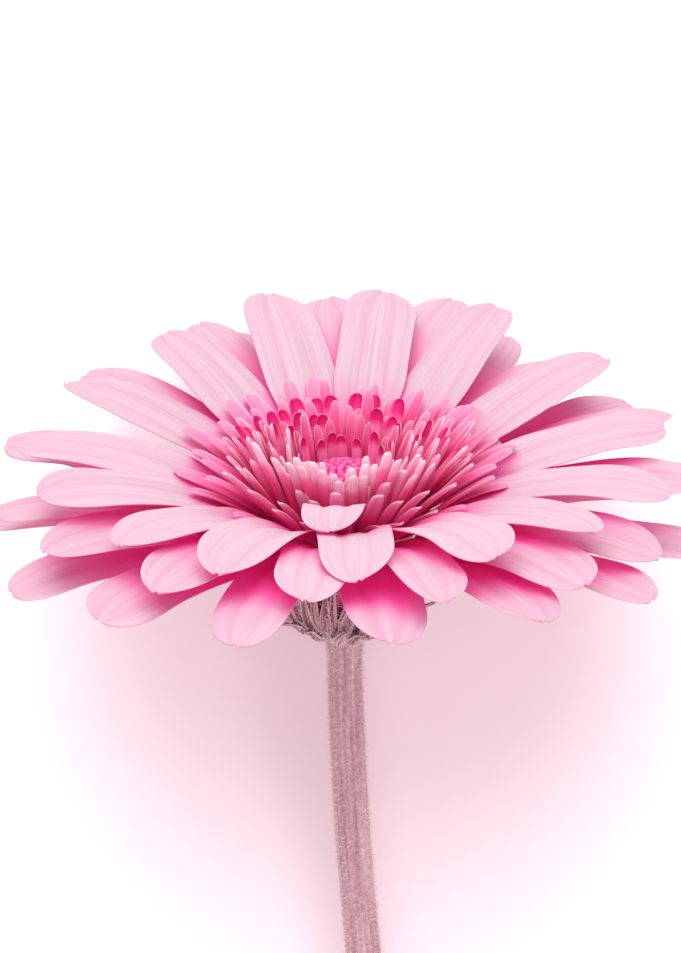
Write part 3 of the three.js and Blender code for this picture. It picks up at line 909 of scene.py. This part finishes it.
HAIRS = hair_tree()
HAIR = plant_hair()
BRACT = bract_skin()
thin_hair = bpy.data.objects.new("hair", hair_mesh(0.05))
bpy.context.collection.objects.link(thin_hair)
CUP = {
    "upper": [dict(count=24, low=0.34, high=0.96, width=3.6, out=-1.1, curl=0.0, twist=0.16)],
    "lower": [
        dict(count=21, low=0.14, high=0.86, width=3.4, out=-0.5, curl=0.3, twist=0.18),
        dict(count=17, low=0.02, high=0.62, width=2.9, out=0.1, curl=1.2, twist=0.22),
    ],
}
for part, whorls in CUP.items():
    meshes = []
    for n, w in enumerate(whorls):
        models = []
        for j in range(3):
            shape = bract(
                w["low"], w["high"] + 0.04 * (j - 1), w["width"] * (1 - 0.1 * j), w["out"],
                w["curl"] * (0.3 + 0.9 * j), w["twist"],
            )
            model = bpy.data.objects.new("bract", blade("bract", 12, 6, shape))
            bpy.context.collection.objects.link(model)
            models.append(model)
        meshes.append(grown("scales", RING, {
            "Count": w["count"], "Radius": 0.0, "Foot": 0.0, "Phase": 0.5 * n,
            "Turn Jitter": 0.18 * math.tau / w["count"], "Lean Jitter": 0.0,
            "Size Jitter": 0.012, "Seed": 11 + n + 5 * len(whorls), "First": models[0],
            "Second": models[1], "Third": models[2], "Finish": BRACT,
        }))
        for model in models:
            bpy.data.objects.remove(model)
    haired = [
        grown("haired", HAIRS, dict(CUP_HAIRS, Hair=thin_hair, Finish=HAIR), start=mesh)
        for mesh in meshes
    ]
    settle(f"cup_scales_{part}", haired, in_head, "bracts", f"bracts_{part}")


# ---------------------------------------------------------------------------------------------
# Stem: a bare, juicy stalk, faintly ribbed along its length and covered in short hairs. It
# swells into the cup, eases down to the surface, and ends in a slanted cut that shows its pith.
STEM_LENGTH = 180
STEM_TOP_D = 5.6
STEM_CUT_D = 6.4
STEM_SWAY = 18
CUT_SLANT = math.tan(math.radians(25))
RIBS = 11
RIB_DEPTH = 0.018
RIND = 0.9
HOLLOW_D = 2.2
HOLLOW_DEPTH = 7.0
STEM_FLARE, FLARE_SHARE = 0.55, 0.03
STEM_RINGS, STEM_SIDES = 150, 44
# Hairs grow only above this height, so that the lowest tips end about at the surface.
STEM_HAIRS = dict(Density=3.4, Length=1.0, Lean=0.7, Lowest=1.2, Seed=8)

to_mm = Matrix.Scale(1 / MM, 4)
neck = np.array(to_mm @ in_head @ Vector((0, 0, BOWL_RIM - BOWL_HEIGHT - NECK_GAP)))
back = np.array((in_head.to_3x3() @ Vector((0, 0, -1))).normalized())
drop = neck[2] - STEM_CUT_D / 2 - CONTACT
run = math.sqrt(STEM_LENGTH**2 - drop**2)
cut = np.array([HEAD_PLACE.x - STEM_SWAY, neck[1] + run, STEM_CUT_D / 2 + CONTACT])
bend = [
    neck,
    neck + back * STEM_LENGTH / 3,
    cut + np.array([STEM_SWAY / 3, -STEM_LENGTH / 3, 0]),
    cut,
]


def stem_line(t):
    """Point and direction on the stem's centre line, a cubic curve through bend."""
    a, b, c, d = bend
    q = 1 - t
    point = q**3 * a + 3 * q**2 * t * b + 3 * q * t**2 * c + t**3 * d
    along = 3 * q**2 * (b - a) + 6 * q * t * (c - b) + 3 * t**2 * (d - c)
    return point, along / np.linalg.norm(along)


def stem_mesh(rings, sides):
    """The stem's skin, its cut face and the short hollow in its pith, as one closed mesh."""
    rows = [(t, 1.0, 0.0) for t in np.linspace(0, 1, rings)]
    rim = STEM_CUT_D / 2
    rows += [(1.0, (rim - RIND) / rim, 0.0), (1.0, HOLLOW_D / 2 / rim, -0.25)]
    rows += [(1.0, HOLLOW_D / 2 / rim * 0.9, -HOLLOW_DEPTH)]
    points, flat, kind = [], [], []
    for level, (t, share, sunk) in enumerate(rows):
        point, along = stem_line(t)
        side = np.array([1.0, 0, 0]) - along * along[0]
        side /= np.linalg.norm(side)
        up = np.cross(side, along)
        swell = STEM_FLARE * (1 - smooth(np.array(t), 0, FLARE_SHARE)) + 0.10 * math.sin(17 * t) * t
        radius = ((STEM_TOP_D + (STEM_CUT_D - STEM_TOP_D) * t) / 2 + swell) * share
        for i in range(sides):
            turn = math.tau * i / sides
            rib = 1 + RIB_DEPTH * math.cos(RIBS * turn + 3 * t) * (share > 0.99)
            a, b = radius * rib * math.cos(turn), radius * rib * math.sin(turn)
            slant = b * CUT_SLANT if t == 1 else 0
            points.append(point + side * a + up * b + along * (slant + sunk))
            flat.append((i / sides, t * STEM_LENGTH / 20))
            kind.append(0.0 if level < rings else 1.0)
    first, last = len(points), len(points) + 1
    points.append(stem_line(0)[0])
    points.append(stem_line(1)[0] - stem_line(1)[1] * HOLLOW_DEPTH)
    flat += [(0.5, 0.0), (0.5, STEM_LENGTH / 20)]
    kind += [0.0, 1.0]
    faces = []
    for i in range(sides):
        j = (i + 1) % sides
        for level in range(len(rows) - 1):
            a = level * sides
            faces.append((a + i, a + sides + i, a + sides + j, a + j))
        end = (len(rows) - 1) * sides
        faces.append((i, j, first))
        faces.append((end + j, end + i, last))
    mesh = bpy.data.meshes.new("stem")
    mesh.from_pydata([tuple(p) for p in points], [], faces)
    layer = mesh.uv_layers.new(name="UVMap").data
    for polygon in mesh.polygons:
        wraps = any(flat[v][0] > 0.9 for v in polygon.vertices)
        for loop in polygon.loop_indices:
            u, w = flat[mesh.loops[loop].vertex_index]
            layer[loop].uv = (u + 1 if wraps and u < 0.1 else u, w)
    pith = mesh.attributes.new("pith", "FLOAT", "POINT")
    pith.data.foreach_set("value", kind)
    mesh.shade_smooth()
    mesh.set_sharp_from_angle(angle=math.radians(50))
    return mesh


def stem_skin():
    """Waxy stalk skin, dusty mauve with long faint streaks, and pale wet pith at the cut."""
    made, tree = new_material("stalk skin, waxy and streaked")
    place = node(tree, "ShaderNodeTexCoord").outputs["Object"]
    uv = node(tree, "ShaderNodeUVMap", uv_map="UVMap")
    long = node(tree, "ShaderNodeMapping", {"Vector": uv, "Scale": (26.0, 0.8, 1.0)})
    streak = node(tree, "ShaderNodeTexNoise", {"Vector": long, "Scale": 1.0, "Detail": 4.0})
    speck = node(tree, "ShaderNodeTexNoise", {"Vector": place, "Scale": 1400.0, "Detail": 2.0})
    colour = node(
        tree, "ShaderNodeValToRGB", {"Fac": streak},
        stops=[(0.30, "#9e7882"), (0.50, "#b4939b"), (0.72, "#cab6bc")],
    )
    fleck = node(
        tree, "ShaderNodeValToRGB", {"Fac": speck},
        stops=[(0.42, "#d8b4bc"), (0.60, "#ffffff")],
    )
    colour = node(
        tree, "ShaderNodeMix", {"Factor": 0.5, 6: colour, 7: fleck}, data_type="RGBA",
        blend_type="MULTIPLY",
    )
    pith = node(tree, "ShaderNodeAttribute", attribute_name="pith").outputs["Fac"]
    flesh = node(
        tree, "ShaderNodeValToRGB", {"Fac": speck},
        stops=[(0.35, "#d9b9b4"), (0.65, "#efdcd6")],
    )
    colour = node(tree, "ShaderNodeMix", {"Factor": pith, 6: colour, 7: flesh}, data_type="RGBA")
    bumps = node(tree, "ShaderNodeBump", {"Height": streak, "Strength": 0.4, "Distance": 0.0003})
    skin = node(
        tree, "ShaderNodeBsdfPrincipled",
        {"Base Color": colour, "Roughness": 0.6, "Sheen Weight": 0.5, "Sheen Roughness": 0.4,
         "Normal": bumps},
    )
    node(tree, "ShaderNodeOutputMaterial", {"Surface": skin})
    return made


stalk = stem_mesh(STEM_RINGS, STEM_SIDES)
stalk.materials.append(stem_skin())
stem_hair = bpy.data.objects.new("hair", hair_mesh(0.055))
bpy.context.collection.objects.link(stem_hair)
haired_stalk = grown(
    "stem_with_hairs", HAIRS, dict(STEM_HAIRS, Hair=stem_hair, Finish=HAIR), start=stalk
)
for model in (thin_hair, stem_hair):
    bpy.data.objects.remove(model)
settle("stem_with_hairs", [haired_stalk], Matrix.Scale(MM, 4), "stem", "stem")


# ---------------------------------------------------------------------------------------------
# Studio: a pale floor that the flower lies on, a soft key light from beyond the head with a
# weaker fill over the stem, and a long lens that looks straight down.
def finish_floor():
    """Matt painted board, faintly pink."""
    made, tree = new_material("matt painted board")
    board = node(
        tree, "ShaderNodeBsdfPrincipled",
        {"Base Color": linear("#f4eaee"), "Roughness": 0.9, "Specular IOR Level": 0.2},
    )
    node(tree, "ShaderNodeOutputMaterial", {"Surface": board})
    return made


FLOOR_HALF = 4
floor_mesh = bpy.data.meshes.new("floor")
corners = [(x * FLOOR_HALF, y * FLOOR_HALF, 0) for x, y in ((-1, -1), (1, -1), (1, 1), (-1, 1))]
floor_mesh.from_pydata(corners, [], [(0, 1, 2, 3)])
floor_mesh.materials.append(finish_floor())
floor = bpy.data.objects.new("floor", floor_mesh)
bpy.context.collection.objects.link(floor)

head_at = HEAD_PLACE * MM


def area_light(name, place, size, watts, colour):
    data = bpy.data.lights.new(name, "AREA")
    data.shape = "DISK"
    data.size = size
    data.energy = watts
    data.color = linear(colour)[:3]
    lamp = bpy.data.objects.new(name, data)
    lamp.location = head_at + Vector(place)
    aim = head_at - lamp.location
    lamp.rotation_euler = aim.to_track_quat("-Z", "Y").to_euler()
    bpy.context.collection.objects.link(lamp)


area_light("key", (0.05, -0.80, 0.94), 1.2, 21, "#fffdfe")
area_light("fill", (-0.25, 0.85, 0.90), 0.9, 8, "#fff2f6")

world = bpy.data.worlds.new("studio")
bpy.context.scene.world = world
world.use_nodes = True
sky = world.node_tree.nodes["Background"]
sky.inputs["Color"].default_value = linear("#fff0f5")
sky.inputs["Strength"].default_value = 0.71

VIEW_DISTANCE = 0.700
VIEW_SHIFT = (0.0007, -0.0069)
LONG_SIDE_AT_HEAD = 0.1513
lens_data = bpy.data.cameras.new("camera")
lens_data.sensor_width = 36
lens_data.lens = 36 * VIEW_DISTANCE / LONG_SIDE_AT_HEAD
lens_data.clip_end = 20
camera = bpy.data.objects.new("camera", lens_data)
camera.location = head_at + Vector((*VIEW_SHIFT, VIEW_DISTANCE))
camera.rotation_euler = (0, 0, math.pi)
bpy.context.collection.objects.link(camera)
bpy.context.scene.camera = camera
bpy.context.scene.view_settings.view_transform = "Standard"
